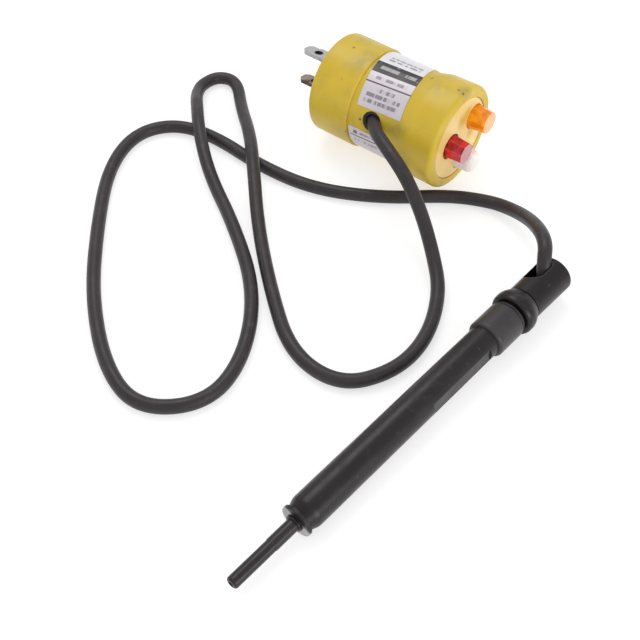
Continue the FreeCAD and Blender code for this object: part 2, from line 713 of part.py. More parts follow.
def make_seal_ring():
    ring = doc.addObject("Part::Torus", "SealRing")
    ring.setExpression("Radius1", "Sizes.seal_mean_dia / 2")
    ring.setExpression("Radius2", "Sizes.seal_section_dia / 2")
    middle = (size("collar_end") + size("ring_front")) / 2
    ring.Placement = PROBE * Placement(Vector(middle, 0, 0), Rotation(Vector(0, 1, 0), 90))
    keep(ring, "seal_ring")


CAP_GAP = 0.7
CAP_FRONT = "ring_end + %.1f" % CAP_GAP
SLOT_ANGLE = 36.0


def make_rear_cap():
    """Cap with a closed rear end and an oblong side hole that the cord comes out of."""
    body = new_body("Cap", PROBE)
    base = turn(body, "CapTurn", [
        ("ring_end", "spigot_dia / 2"), ("ring_end", "6.1"), (CAP_FRONT, "6.1"),
        (CAP_FRONT, "cap_dia / 2"), ("cap_end", "cap_rear_dia / 2"), ("cap_end", "0"),
        ("cap_end - 1.4", "0"), ("cap_end - 1.4", "cap_bore / 2"),
        ("ring_end + 3", "cap_bore / 2"), ("ring_end + 3", "spigot_dia / 2")])
    base = round_edges(body, "CapFrontRound", base,
                       [(size("ring_end") + CAP_GAP, size("cap_dia") / 2)], 0.4)
    round_edges(body, "CapRearRound", base,
                [(size("cap_end"), size("cap_rear_dia") / 2)], 0.9)
    lean = Rotation(Vector(1, 0, 0), -SLOT_ANGLE)
    front, rear = size("slot_front"), size("slot_rear")
    pieces = []
    for number, station in enumerate((front, rear)):
        drill = doc.addObject("Part::Cylinder", "CordSlotEnd%d" % number)
        drill.setExpression("Radius", "Sizes.slot_width / 2")
        drill.Height = 9
        drill.Placement = PROBE * Placement(Vector(station, 0, 0), lean)
        pieces.append(drill)
    middle = doc.addObject("Part::Box", "CordSlotMiddle")
    middle.setExpression("Length", "Sizes.slot_rear - Sizes.slot_front")
    middle.setExpression("Width", "Sizes.slot_width")
    middle.Height = 9
    middle.Placement = PROBE * Placement(Vector(front, 0, 0), lean) * Placement(
        Vector(0, -size("slot_width") / 2, 0), Rotation())
    tool = doc.addObject("Part::MultiFuse", "CordSlotTool")
    tool.Shapes = pieces + [middle]
    cap = doc.addObject("Part::Cut", "RearCap")
    cap.Base = body
    cap.Tool = tool
    keep(cap, "rear_cap")


# ---------------------------------------------------------------- cord

FLOOR = 2.6
TOP = 13.2
ROUTE = [
    # out of the waist and down to the surface
    (-23.5, 67.3, 25.4), (-18.7, 60.0, 27.6), (-8.0, 53.6, 28.2), (4.2, 49.0, 24.2),
    (15.0, 44.5, 15.5), (25.5, 37.5, 7.0), (36.5, 26.5, FLOOR),
    # first bend, then back and up over the later strand
    (45.0, 6.0, FLOOR), (44.5, -12.5, FLOOR), (33.5, -29.0, FLOOR), (11.5, -28.0, FLOOR),
    (-12.5, -9.5, FLOOR), (-36.5, 12.0, FLOOR), (-54.5, 31.0, TOP), (-69.0, 46.0, TOP),
    # the narrow loop's end, and over the strand again
    (-88.5, 62.5, FLOOR), (-101.5, 75.0, FLOOR), (-110.5, 73.0, FLOOR),
    (-112.5, 64.0, FLOOR), (-107.5, 55.5, 4.5), (-99.0, 47.0, TOP), (-87.5, 35.5, TOP),
    # the wide loop
    (-71.5, 23.0, FLOOR), (-43.5, 6.5, FLOOR), (-16.5, -13.5, FLOOR), (0.5, -38.5, FLOOR),
    (4.0, -61.0, FLOOR), (-12.5, -77.0, FLOOR), (-33.5, -71.5, FLOOR),
    (-60.5, -51.5, FLOOR), (-84.5, -25.5, FLOOR), (-105.0, 0.5, FLOOR),
    (-112.0, 22.5, FLOOR), (-103.0, 37.5, FLOOR),
    # under the loop's two legs and the first strand, then up into the probe's cap
    (-84.5, 41.5, FLOOR), (-58.5, 39.0, FLOOR), (-32.5, 41.5, FLOOR), (-8.0, 54.3, FLOOR),
    (11.0, 71.0, FLOOR), (25.5, 78.0, FLOOR), (35.5, 77.2, 4.8), (45.9, 70.7, 10.8),
    (54.6, 61.9, 16.8), (60.1, 55.3, 18.7), (62.8, 50.4, 16.0), (65.0, 47.9, 10.5),
]


def make_cord():
    cord = doc.addObject("Part::Feature", "TestCord")
    solid, length, radii = tube_along(ROUTE, size("cord_dia") / 2)
    cord.Shape = solid
    print("cord length %.0f mm, bend radii %s" % (
        length, " ".join("%.0f" % bend for bend in radii)))
    keep(cord, "test_cord")


def make_inner_leads():
    """The cord's bared core: to the board in the tester, and to the seat in the probe."""
    start, outward = Vector(*ROUTE[0]), Vector(*ROUTE[1])
    inward = (start - outward).normalize()
    axis = TESTER.Base
    board = Vector(axis.x + size("board_rear"), axis.y - 8.2, axis.z + 2.5)
    beside = board - Vector(4.0, 0, 0)
    tester_lead = doc.addObject("Part::Feature", "TesterLead")
    tester_lead.Shape = tube_along(
        [tuple(start), tuple(start + inward * 4.0), tuple(beside), tuple(board)], 1.2)[0]
    keep(tester_lead, "tester_lead")
    end, before = Vector(*ROUTE[-1]), Vector(*ROUTE[-2])
    onward = (end - before).normalize()
    on_axis = [PROBE.multVec(Vector(station, 0, 0)) for station in (143.0, 72.0)]
    probe_lead = doc.addObject("Part::Feature", "ProbeLead")
    probe_lead.Shape = tube_along(
        [tuple(end), tuple(end + onward * 2.6), tuple(on_axis[0]), tuple(on_axis[1])], 1.2)[0]
    keep(probe_lead, "probe_lead")


# ---------------------------------------------------------------- build

make_rear_cover()
make_main_housing()
make_lens_panel()
make_plug_insert()
for blade_name, (blade_y, blade_z) in zip(("line_blade", "neutral_blade"), blade_centres()):
    make_blade(blade_name, blade_y, blade_z)
make_ground_pin()
make_disc("circuit_board", "board_rear", "board_rear + board_thick", "board_radius",
          [(y, z, "stud_dia + 0.1") for y, z in POST_SPOTS] + [GROMMET_NOTCH])
make_disc("lamp_carrier", "carrier_rear", "ledge_rear", "ledge_radius - 0.2",
          [(y, z, "stud_dia + 0.1") for y, z in POST_SPOTS]
          + [(y, z, "lamp_dia + 0.2") for y, z in LENS_SPOTS.values()])
make_posts_and_screws()
make_resistors()
for lamp_colour in LENS_SPOTS:
    make_lamp(lamp_colour)
make_faceted_lens("amber", 12)
make_faceted_lens("red", 8)
make_round_lens("white", 2.2)
make_wires()
make_main_label()
make_lower_label()
make_cord_grommet()
make_probe()
make_cord()
make_inner_leads()
doc.recompute()

for obj in doc.Objects:
    if "Invalid" in obj.State or "Error" in obj.State:
        raise RuntimeError("%s failed: %s" % (obj.Label, obj.State))
for part in parts:
    if part.Shape.isNull() or not part.Shape.isValid() or part.Shape.Volume <= 0:
        raise RuntimeError(part.Label + " has no valid shape")

os.makedirs("parts", exist_ok=True)
for part in parts:
    part.Shape.exportStep("parts/%s.step" % part.Label)
    print("%-16s %d solids %9.1f mm3" % (part.Label, len(part.Shape.Solids), part.Shape.Volume))
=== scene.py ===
"""Looks for the plug-in circuit test light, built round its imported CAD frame.

Row frame in metres: +X along the tester's axis from plug to lenses, +Z up, the floor at z = 0.
"""

import math

import bmesh
import bpy
from mathutils import Euler, Matrix, Vector


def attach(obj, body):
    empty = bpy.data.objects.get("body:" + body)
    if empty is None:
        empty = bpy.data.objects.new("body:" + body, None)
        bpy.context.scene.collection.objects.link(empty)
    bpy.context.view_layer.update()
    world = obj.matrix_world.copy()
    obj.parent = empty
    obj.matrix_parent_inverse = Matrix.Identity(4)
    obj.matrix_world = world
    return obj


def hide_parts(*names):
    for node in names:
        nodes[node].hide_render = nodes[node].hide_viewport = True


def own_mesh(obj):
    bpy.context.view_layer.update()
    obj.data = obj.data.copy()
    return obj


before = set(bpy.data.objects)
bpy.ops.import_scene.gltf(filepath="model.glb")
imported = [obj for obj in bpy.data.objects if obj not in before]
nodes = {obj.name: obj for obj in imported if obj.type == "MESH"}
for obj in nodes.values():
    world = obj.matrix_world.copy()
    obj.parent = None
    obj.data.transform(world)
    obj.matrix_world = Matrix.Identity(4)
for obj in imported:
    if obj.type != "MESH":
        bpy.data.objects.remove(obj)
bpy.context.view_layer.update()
scene = bpy.context.scene

MM = 0.001
ROOT = "tester_and_probe"

# The probe's local frame, as the CAD places it: +X from the rod's end to the cap.
PROBE_START = (0.0531, -0.1033, 0.0052)
PROBE_HEADING = math.radians(85.2)
PROBE_TILT = math.radians(-1.35)
PROBE = (Matrix.Translation(PROBE_START)
         @ Matrix.Rotation(PROBE_HEADING, 4, "Z")
         @ Matrix.Rotation(PROBE_TILT, 4, "Y"))
PROBE_AXIS = PROBE.to_3x3() @ Vector((1, 0, 0))


# ---------------------------------------------------------------- camera

CAMERA_PLACE = (0.1558, -0.1960, 0.2786)
CAMERA_LEAN = math.radians(40.5)  # from looking straight down
CAMERA_HEADING = math.radians(38.0)
CAMERA_LENS = 58.37
SENSOR_WIDTH = 36.0


def make_camera():
    data = bpy.data.cameras.new("Camera")
    camera = bpy.data.objects.new("Camera", data)
    scene.collection.objects.link(camera)
    camera.location = CAMERA_PLACE
    camera.rotation_euler = Euler((CAMERA_LEAN, 0.0, CAMERA_HEADING))
    data.lens = CAMERA_LENS
    data.sensor_width = SENSOR_WIDTH
    data.clip_start = 0.01
    data.clip_end = 20.0
    scene.camera = camera


# ---------------------------------------------------------------- cord

# Millimetres. FLOOR and TOP are heights of the cord's centreline.
CORD_DIAMETER = 5.2
FLOOR = 2.6  # lying on the surface
TOP = 8.4  # control height over another strand; the curve itself passes lower
ROUTE = [
    # out of the waist and down to the surface
    (-23.5, 67.3, 25.4), (-18.7, 60.0, 27.6), (-8.0, 53.6, 28.2), (4.2, 49.0, 24.2),
    (15.0, 44.5, 15.5), (25.5, 37.5, 7.0), (36.5, 26.5, FLOOR),
    # first bend, then back and up over the later strand
    (45.0, 6.0, FLOOR), (44.5, -12.5, FLOOR), (33.5, -29.0, FLOOR), (11.5, -28.0, FLOOR),
    (-12.5, -9.5, FLOOR), (-36.5, 12.0, FLOOR), (-54.5, 31.0, TOP), (-69.0, 46.0, TOP),
    # the narrow loop's end, and over the strand again
    (-88.5, 62.5, FLOOR), (-101.5, 75.0, FLOOR), (-110.5, 73.0, FLOOR),
    (-112.5, 64.0, FLOOR), (-107.5, 55.5, 4.5), (-99.0, 47.0, TOP), (-87.5, 35.5, TOP),
    # the wide loop
    (-71.5, 23.0, FLOOR), (-43.5, 6.5, FLOOR), (-16.5, -13.5, FLOOR), (0.5, -38.5, FLOOR),
    (4.0, -61.0, FLOOR), (-12.5, -77.0, FLOOR), (-33.5, -71.5, FLOOR),
    (-60.5, -51.5, FLOOR), (-84.5, -25.5, FLOOR), (-105.0, 0.5, FLOOR),
    (-112.0, 22.5, FLOOR), (-103.0, 37.5, FLOOR),
    # under the loop's two legs and the first strand, then up into the probe's cap
    (-84.5, 41.5, FLOOR), (-58.5, 39.0, FLOOR), (-32.5, 41.5, FLOOR), (-8.0, 54.3, FLOOR),
    (11.0, 71.0, FLOOR), (25.5, 78.0, FLOOR), (35.5, 77.2, 4.8), (45.9, 70.7, 10.8),
    (54.6, 61.9, 16.8), (60.1, 55.3, 18.7), (62.8, 50.4, 16.0), (65.0, 47.9, 10.5),
]


def make_cord():
    curve = bpy.data.curves.new("cord_line", "CURVE")
    curve.dimensions = "3D"
    spline = curve.splines.new("NURBS")
    spline.points.add(len(ROUTE) - 1)
    for point, spot in zip(spline.points, ROUTE):
        point.co = (spot[0] * MM, spot[1] * MM, spot[2] * MM, 1.0)
        point.radius = CORD_DIAMETER / 2 * MM
    spline.order_u = 3
    spline.use_endpoint_u = True
    spline.resolution_u = 14
    curve.bevel_depth = 1.0  # times each point's radius, by which Blender grows the curve's box
    curve.bevel_resolution = 7
    curve.use_fill_caps = True
    cord = bpy.data.objects.new("cord", curve)
    scene.collection.objects.link(cord)
    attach(cord, ROOT)
    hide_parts("test_cord")
    return cord


make_camera()
cord = make_cord()


# ---------------------------------------------------------------- sheath spring

# Millimetres along and across the probe's own axis.
SPRING_START = 36.5
SPRING_TURNS = 10
SPRING_PITCH = 2.3
SPRING_RADIUS = 2.6
SPRING_WIRE = 0.4
WIRE_SIDES = 10
TURN_STEPS = 28


def spring_section(turn):
    """One ring of points round the wire, after so many turns, in the row frame."""
    angle = 2 * math.pi * turn
    outward = Vector((0, math.sin(angle), -math.cos(angle)))
    centre = Vector((SPRING_START + SPRING_PITCH * turn, 0, 0)) + SPRING_RADIUS * outward
    ring = []
    for side in range(WIRE_SIDES):
        round_wire = 2 * math.pi * side / WIRE_SIDES
        offset = outward * math.cos(round_wire) + Vector((1, 0, 0)) * math.sin(round_wire)
        ring.append(PROBE @ ((centre + SPRING_WIRE * offset) * MM))
    return ring


def make_spring():
    """The coil inside the handle, made here as a swept wire mesh; the CAD spring is hidden."""
    shape = bmesh.new()
    rings = [[shape.verts.new(point) for point in spring_section(step / TURN_STEPS)]
             for step in range(SPRING_TURNS * TURN_STEPS + 1)]
    for before, after in zip(rings, rings[1:]):
        for side, vertex in enumerate(before):
            shape.faces.new((before[side - 1], vertex, after[side], after[side - 1]))
    shape.faces.new(rings[0])
    shape.faces.new(reversed(rings[-1]))
    bmesh.ops.recalc_face_normals(shape, faces=shape.faces)
    for face in shape.faces:
        face.smooth = len(face.verts) == 4
    mesh = bpy.data.meshes.new("sheath_coil")
    shape.to_mesh(mesh)
    shape.free()
    spring = bpy.data.objects.new("sheath_coil", mesh)
    scene.collection.objects.link(spring)
    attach(spring, ROOT)
    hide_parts("sheath_spring")
    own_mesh(spring)
    return spring


spring = make_spring()


# ---------------------------------------------------------------- material helpers

class Material:
    """A node material built in few words: sockets by name, links by name."""

    def __init__(self, name):
        self.material = bpy.data.materials.new(name)
        self.material.use_nodes = True
        self.tree = self.material.node_tree
        self.shader = self.tree.nodes["Principled BSDF"]

    def node(self, kind, **values):
        made = self.tree.nodes.new(kind)
        for key, value in values.items():
            if hasattr(made, key):
                setattr(made, key, value)
            else:
                self.feed(made.inputs[key.replace("_", " ")], value)
        return made

    def feed(self, socket, value):
        if isinstance(value, bpy.types.NodeSocket):
            self.tree.links.new(value, socket)
        elif isinstance(value, (tuple, list)) and len(value) == 3 and socket.type == "RGBA":
            socket.default_value = (*value, 1.0)
        else:
            socket.default_value = value

    def set(self, **values):
        for key, value in values.items():
            self.feed(self.shader.inputs[key.replace("_", " ")], value)

    def place(self, location=(0, 0, 0), rotation=(0, 0, 0), scale=(1, 1, 1)):
        """Object coordinates, scaled, then turned, then moved by adding the location."""
        source = self.node("ShaderNodeTexCoord").outputs["Object"]
        mapping = self.node("ShaderNodeMapping")
        mapping.vector_type = "POINT"
        mapping.inputs["Location"].default_value = location
        mapping.inputs["Rotation"].default_value = rotation
        mapping.inputs["Scale"].default_value = scale
        self.feed(mapping.inputs["Vector"], source)
        return mapping.outputs["Vector"]

    def noise(self, where, scale, detail=4.0, roughness=0.55, distortion=0.0):
        made = self.node("ShaderNodeTexNoise", Vector=where, Scale=scale, Detail=detail)
        made.inputs["Roughness"].default_value = roughness
        made.inputs["Distortion"].default_value = distortion
        return made.outputs["Fac"]

    def ramp(self, value, *stops):
        """Map a value to grey or colour through (position, colour or level) stops."""
        made = self.node("ShaderNodeValToRGB")
        self.feed(made.inputs["Fac"], value)
        elements = made.color_ramp.elements
        while len(elements) < len(stops):
            elements.new(0.5)
        for element, (position, level) in zip(elements, stops):
            element.position = position
            colour = level if isinstance(level, tuple) else (level,) * 3
            element.color = (*colour, 1.0)
        return made.outputs["Color"]

    def mix(self, factor, a, b):
        """From a to b as the factor goes from 0 to 1."""
        made = self.node("ShaderNodeMix", data_type="RGBA")
        self.feed(made.inputs["Factor"], factor)
        self.feed(made.inputs[6], a)
        self.feed(made.inputs[7], b)
        return made.outputs[2]

    def math(self, operation, a, b=0.0, clamp=False):
        made = self.node("ShaderNodeMath", operation=operation, use_clamp=clamp)
        self.feed(made.inputs[0], a)
        self.feed(made.inputs[1], b)
        return made.outputs[0]

    def split(self, vector):
        made = self.node("ShaderNodeSeparateXYZ", Vector=vector)
        return made.outputs[0], made.outputs[1], made.outputs[2]

    def within(self, value, low, high, soft=0.0002):
        """1 inside a range, 0 outside, with soft ends."""
        rise = self.node("ShaderNodeMapRange")
        fall = self.node("ShaderNodeMapRange")
        for made, start, end in ((rise, low - soft, low + soft),
                                 (fall, high + soft, high - soft)):
            self.feed(made.inputs["Value"], value)
            made.inputs["From Min"].default_value = start
            made.inputs["From Max"].default_value = end
        return self.math("MULTIPLY", rise.outputs[0], fall.outputs[0])

    def bump(self, *layers):
        """Stack of (height, strength, distance) bumps, finest last."""
        normal = None
        for height, strength, distance in layers:
            made = self.node("ShaderNodeBump")
            self.feed(made.inputs["Height"], height)
            made.inputs["Strength"].default_value = strength
            made.inputs["Distance"].default_value = distance
            if normal is not None:
                self.feed(made.inputs["Normal"], normal)
            normal = made.outputs["Normal"]
        self.feed(self.shader.inputs["Normal"], normal)

    def sharp_edge_mask(self, radius=0.0006):
        """Brighter near sharp edges: how far a bevelled normal departs from the true one."""
        bevel = self.node("ShaderNodeBevel", samples=4)
        bevel.inputs["Radius"].default_value = radius
        geometry = self.node("ShaderNodeNewGeometry")
        dot = self.node("ShaderNodeVectorMath", operation="DOT_PRODUCT")
        self.feed(dot.inputs[0], bevel.outputs["Normal"])
        self.feed(dot.inputs[1], geometry.outputs["Normal"])
        return self.math("SUBTRACT", 1.0, dot.outputs["Value"], clamp=True)


def dress(material, *names):
    """Give a material to CAD nodes by name or to made pieces."""
    for name in names:
        piece = nodes[name] if isinstance(name, str) else name
        piece.data.materials.clear()
        piece.data.materials.append(material)


# ---------------------------------------------------------------- materials

# Added to object coordinates, in metres, it gives places in the tester's own frame.
TESTER_ORIGIN = (0.0523, -0.0827, -0.0210)
PLASTIC_TINT = (1.0, 0.93, 0.98)

# Places below are millimetres in the tester's or the probe's own frame.
# Blade hole centres, and the reach of the painted shade round them.
BLADE_HOLE = (-11.8, 1.9, 6.6)
LOWER_BLADE_HOLE = (-11.8, -0.74, -5.82)
BLADE_HOLE_REACH = 2.15
WASHER_FACE = (24.0, 24.62)  # from and to, along the probe
# WASHER_REFLECTION spans the part of the face given a painted reflection of the white floor.
WASHER_REFLECTION = (-8.0, 2.0)  # from and to, along WASHER_RISE
WASHER_RISE = (0, -0.378, 0.926)
LENS_FRONT = (65.4, 66.0)  # from and to, along the tester
LABEL_MIDDLE = 30.0
LABEL_CROOKED = 200.0  # degrees round the axis for each metre along it

# Marks on the yellow body, in its own millimetres: place, reach, strength.
SMUDGES = [((16.6, -2.6, 20.2), 5.5, 0.8), ((14.0, -8.0, 18.5), 6.0, 0.45),
           ((8.5, 5.5, 19.5), 5.0, 0.5), ((58.0, 1.5, 20.9), 4.5, 0.8),
           ((50.0, -3.0, 20.8), 5.5, 0.45), ((40.5, -18.4, 7.6), 5.5, 0.55),
           ((17.0, -19.5, -6.0), 6.5, 0.4), ((46.0, -20.2, -3.0), 7.0, 0.3)]
# The wide entry at (30.0, -19.0, 4.4) is painted shade round the cord hole, where the cord leaves
# the body; the rest are small dark marks.
DARK_MARKS = [((8.2, -1.5, 20.3), 0.8, 0.9), ((24.6, -18.9, 4.5), 0.75, 1.0),
              ((55.3, 0.3, 21.0), 0.7, 0.9), ((57.8, -0.4, 21.0), 0.8, 1.0),
              ((42.5, 1.3, 20.0), 1.2, 0.6), ((30.0, -19.0, 4.4), 5.6, 0.75),
              ((18.9, -20.0, -3.9), 0.8, 0.6), ((12.0, -14.0, 14.6), 0.6, 0.5)]


def add_marks(m, where, base, marks, colour, breakup, inner=0.30):
    """Blend soft-edged round marks into a base colour, broken up by a noise."""
    for spot, reach, strength in marks:
        offset = m.node("ShaderNodeVectorMath", operation="DISTANCE")
        m.feed(offset.inputs[0], where)
        offset.inputs[1].default_value = [v * MM for v in spot]
        near = m.ramp(m.math("DIVIDE", offset.outputs["Value"], reach * MM),
                      (inner, strength), (1.0, 0.0))
        base = m.mix(m.math("MULTIPLY", near, breakup), base, colour)
    return base


def yellow_plastic():
    """Mustard moulded body: soft mottling, grey-green smudges, small dark marks, painted shade
    round the cord hole, fine grain.
    """
    m = Material("yellow_plastic")
    where = m.place(location=TESTER_ORIGIN)
    base = m.ramp(m.noise(where, 34.0, 5.0), (0.30, (0.53, 0.362, 0.014)),
                  (0.52, (0.585, 0.405, 0.017)), (0.75, (0.65, 0.462, 0.030)))
    cloud = m.ramp(m.noise(where, 75.0, 8.0, 0.62, 0.6), (0.54, 0.0), (0.74, 0.40))
    base = m.mix(cloud, base, (0.36, 0.275, 0.05))
    soft = m.ramp(m.noise(where, 210.0, 6.0, 0.6, 0.4), (0.32, 0.15), (0.66, 1.0))
    base = add_marks(m, where, base, SMUDGES, (0.24, 0.215, 0.075), soft)
    stretched = m.place(location=TESTER_ORIGIN, scale=(0.25, 1.0, 1.0))
    scratch = m.ramp(m.noise(stretched, 900.0, 3.0, 0.5, 1.2), (0.69, 0.0), (0.73, 0.5))
    patch = m.ramp(m.noise(where, 60.0, 2.0), (0.52, 0.0), (0.62, 1.0))
    base = m.mix(m.math("MULTIPLY", scratch, patch), base, (0.16, 0.12, 0.045))
    speck = m.node("ShaderNodeTexVoronoi", Vector=where, Scale=120.0)
    spot = m.ramp(speck.outputs["Distance"], (0.035, 0.6), (0.09, 0.0))
    base = m.mix(m.math("MULTIPLY", spot, patch), base, (0.10, 0.08, 0.04))
    broken = m.ramp(m.noise(where, 520.0, 5.0), (0.30, 0.35), (0.58, 1.0))
    base = add_marks(m, where, base, DARK_MARKS, (0.035, 0.030, 0.018), broken)
    edge_wear_and_highlight = m.ramp(m.sharp_edge_mask(0.0009), (0.01, 0.0), (0.12, 0.7))
    base = m.mix(m.math("MULTIPLY", edge_wear_and_highlight, m.noise(where, 160.0)), base, (0.74, 0.58, 0.20))
    rough = m.ramp(m.noise(where, 110.0, 6.0), (0.3, 0.34), (0.7, 0.50))
    m.set(Base_Color=base, Roughness=rough, IOR=1.50, Subsurface_Weight=0.10,
          Subsurface_Radius=(0.9, 0.55, 0.12), Subsurface_Scale=0.0015, Coat_Weight=0.08,
          Coat_Roughness=0.30)
    m.bump((m.noise(where, 42.0, 2.0), 0.10, 0.0012),
           (m.noise(where, 1900.0, 2.0), 0.10, 0.00006), (scratch, 0.18, 0.00004))
    return m.material


def pale_plastic():
    """Lens panel: pale straw yellow, with mustard patches of painted recess shade, the largest
    beside the amber lens.
    """
    m = Material("pale_plastic")
    where = m.place(location=TESTER_ORIGIN)
    base = m.ramp(m.noise(where, 60.0, 4.0),
                  (0.35, (0.74, 0.52, 0.17)), (0.7, (0.82, 0.63, 0.27)))
    dirt = m.ramp(m.noise(where, 240.0, 7.0, 0.6, 0.4), (0.60, 0.0), (0.76, 0.5))
    base = m.mix(dirt, base, (0.48, 0.35, 0.09))
    soft = m.ramp(m.noise(where, 180.0, 4.0), (0.30, 0.5), (0.62, 1.0))
    # Painted shade: mustard patches darken the panel as if in the shade of its recess, the largest
    # beside the amber lens.
    stains_and_shade = [((58.0, 0.6, 7.6), 4.6, 0.95), ((58.0, 3.6, 10.2), 3.2, 0.7),
             ((58.0, 8.0, -1.8), 4.0, 0.8), ((58.0, -1.0, -1.0), 3.2, 0.6)]
    base = add_marks(m, where, base, stains_and_shade, (0.56, 0.36, 0.02), soft)
    m.set(Base_Color=base, Roughness=m.ramp(m.noise(where, 90.0), (0.3, 0.36), (0.7, 0.5)),
          Subsurface_Weight=0.15, Subsurface_Radius=(0.9, 0.6, 0.2), Subsurface_Scale=0.0015)
    m.bump((m.noise(where, 1500.0, 2.0), 0.12, 0.00006))
    return m.material


def plain_material(name, dark, light, rough, scale=90.0):
    """Two-tone mottled finish with roughness variation and fine grain."""
    m = Material(name)
    where = m.place()
    base = m.ramp(m.noise(where, scale, 5.0), (0.32, dark), (0.68, light))
    m.set(Base_Color=base, Roughness=m.ramp(m.noise(where, scale * 2.2, 5.0),
                                            (0.3, rough[0]), (0.7, rough[1])))
    m.bump((m.noise(where, scale * 3, 3.0), 0.12, 0.00012),
           (m.noise(where, 1400.0, 2.0), 0.12, 0.00004))
    return m.material


def plated_metal(name, clean, wear_and_sheen, amount, hole=None):
    """Stamped blade metal: brushed lengthways, stained in patches, with painted shade inside the
    hole.
    """
    m = Material(name)
    where = m.place()
    brushed = m.place(scale=(0.06, 1.0, 1.0))
    stains_and_shade = m.ramp(m.noise(where, 190.0, 7.0, 0.62, 0.5),
                   (0.62 - amount, 0.0), (0.80 - amount, 1.0))
    base = m.mix(stains_and_shade, clean, wear_and_sheen)
    pits = m.ramp(m.noise(where, 900.0, 3.0), (0.6, 0.0), (0.75, 0.6))
    base = m.mix(pits, base, (0.10, 0.08, 0.06))
    # Painted shade: the wall of the hole is coloured near black, as if in shadow.
    if hole is not None:
        local = m.place(location=TESTER_ORIGIN)
        hole_shade_strength = m.ramp(m.noise(where, 500.0), (0.3, 0.85), (0.7, 1.0))
        base = add_marks(m, local, base, [(hole, BLADE_HOLE_REACH, 1.0)], (0.012, 0.010, 0.010),
                         hole_shade_strength, inner=0.84)
    m.set(Base_Color=base, Metallic=1.0, Roughness=m.mix(stains_and_shade, (0.26,) * 3, (0.50,) * 3))
    m.bump((m.noise(brushed, 2600.0, 3.0), 0.22, 0.00005),
           (m.noise(where, 420.0, 5.0), 0.16, 0.00008))
    return m.material


def black_plastic(name, dark, light, specular=0.38):
    """Probe moulding: satin black with rubbed grey patches, faint lengthways scratches, dust."""
    m = Material(name)
    where = m.place()
    along_probe = m.place(rotation=(0, 0, -PROBE_HEADING), scale=(0.12, 1.0, 1.0))
    base = m.ramp(m.noise(where, 48.0, 6.0), (0.35, dark), (0.7, light))
    rub = m.ramp(m.noise(where, 110.0, 8.0, 0.65, 0.8), (0.56, 0.0), (0.76, 0.6))
    base = m.mix(rub, base, (0.036, 0.031, 0.033))
    scratch = m.ramp(m.noise(along_probe, 1300.0, 3.0, 0.5, 0.7), (0.66, 0.0), (0.71, 0.5))
    base = m.mix(scratch, base, (0.075, 0.070, 0.072))
    edge_wear_and_highlight = m.ramp(m.sharp_edge_mask(0.0005), (0.02, 0.0), (0.2, 0.6))
    base = m.mix(edge_wear_and_highlight, base, (0.085, 0.08, 0.08))
    m.set(Base_Color=base, Roughness=m.ramp(m.noise(where, 150.0, 6.0), (0.3, 0.25), (0.7, 0.42)),
          Specular_IOR_Level=specular, Specular_Tint=PLASTIC_TINT)
    m.bump((m.noise(where, 60.0, 3.0), 0.10, 0.0006),
           (m.noise(where, 1500.0, 3.0), 0.16, 0.00006), (scratch, 0.25, 0.00005))
    return m.material


def washer_plastic():
    """Thin disc behind the nose bush: black, with a painted reflection of the white floor on the
    lower left half of its face.
    """
    m = Material("washer_plastic")
    where = m.place()
    travel = m.node("ShaderNodeVectorMath", operation="DOT_PRODUCT")
    shifted = m.node("ShaderNodeVectorMath", operation="SUBTRACT")
    m.feed(shifted.inputs[0], where)
    shifted.inputs[1].default_value = PROBE.translation
    m.feed(travel.inputs[0], shifted.outputs[0])
    travel.inputs[1].default_value = PROBE_AXIS
    rise = m.node("ShaderNodeVectorMath", operation="DOT_PRODUCT")
    m.feed(rise.inputs[0], shifted.outputs[0])
    rise.inputs[1].default_value = PROBE.to_3x3() @ Vector(WASHER_RISE)
    front = m.within(travel.outputs["Value"], *(edge * MM for edge in WASHER_FACE), 0.00005)
    # Painted reflection: the lower left half of the front face is coloured pale grey, as if it
    # mirrored the white floor.
    reflecting_half = m.within(rise.outputs["Value"], *(edge * MM for edge in WASHER_REFLECTION), 0.0006)
    face = m.math("MULTIPLY", front, reflecting_half)
    floor_reflection = m.ramp(m.noise(where, 260.0, 5.0),
                  (0.3, (0.36, 0.35, 0.36)), (0.7, (0.52, 0.50, 0.515)))
    base = m.mix(face, m.ramp(m.noise(where, 300.0), (0.3, 0.007), (0.7, 0.018)), floor_reflection)
    m.set(Base_Color=base, Roughness=m.ramp(m.noise(where, 180.0), (0.3, 0.35), (0.7, 0.5)),
          Specular_IOR_Level=0.36, Specular_Tint=PLASTIC_TINT)
    m.bump((m.noise(where, 900.0, 2.0), 0.12, 0.00006))
    return m.material


def cord_rubber():
    """Extruded jacket: dark grey-brown, dusty patches, faint draw lines."""
    m = Material("cord_rubber")
    where = m.place()
    base = m.ramp(m.noise(where, 40.0, 5.0),
                  (0.3, (0.020, 0.0155, 0.018)), (0.7, (0.033, 0.026, 0.030)))
    dust = m.ramp(m.noise(where, 300.0, 7.0, 0.62), (0.55, 0.0), (0.75, 0.40))
    base = m.mix(dust, base, (0.085, 0.067, 0.074))
    m.set(Base_Color=base, Roughness=m.ramp(m.noise(where, 170.0, 5.0), (0.3, 0.34), (0.7, 0.50)),
          Specular_IOR_Level=0.36)
    m.bump((m.noise(where, 130.0, 3.0), 0.15, 0.00025),
           (m.noise(where, 2600.0, 2.0), 0.15, 0.00004))
    return m.material


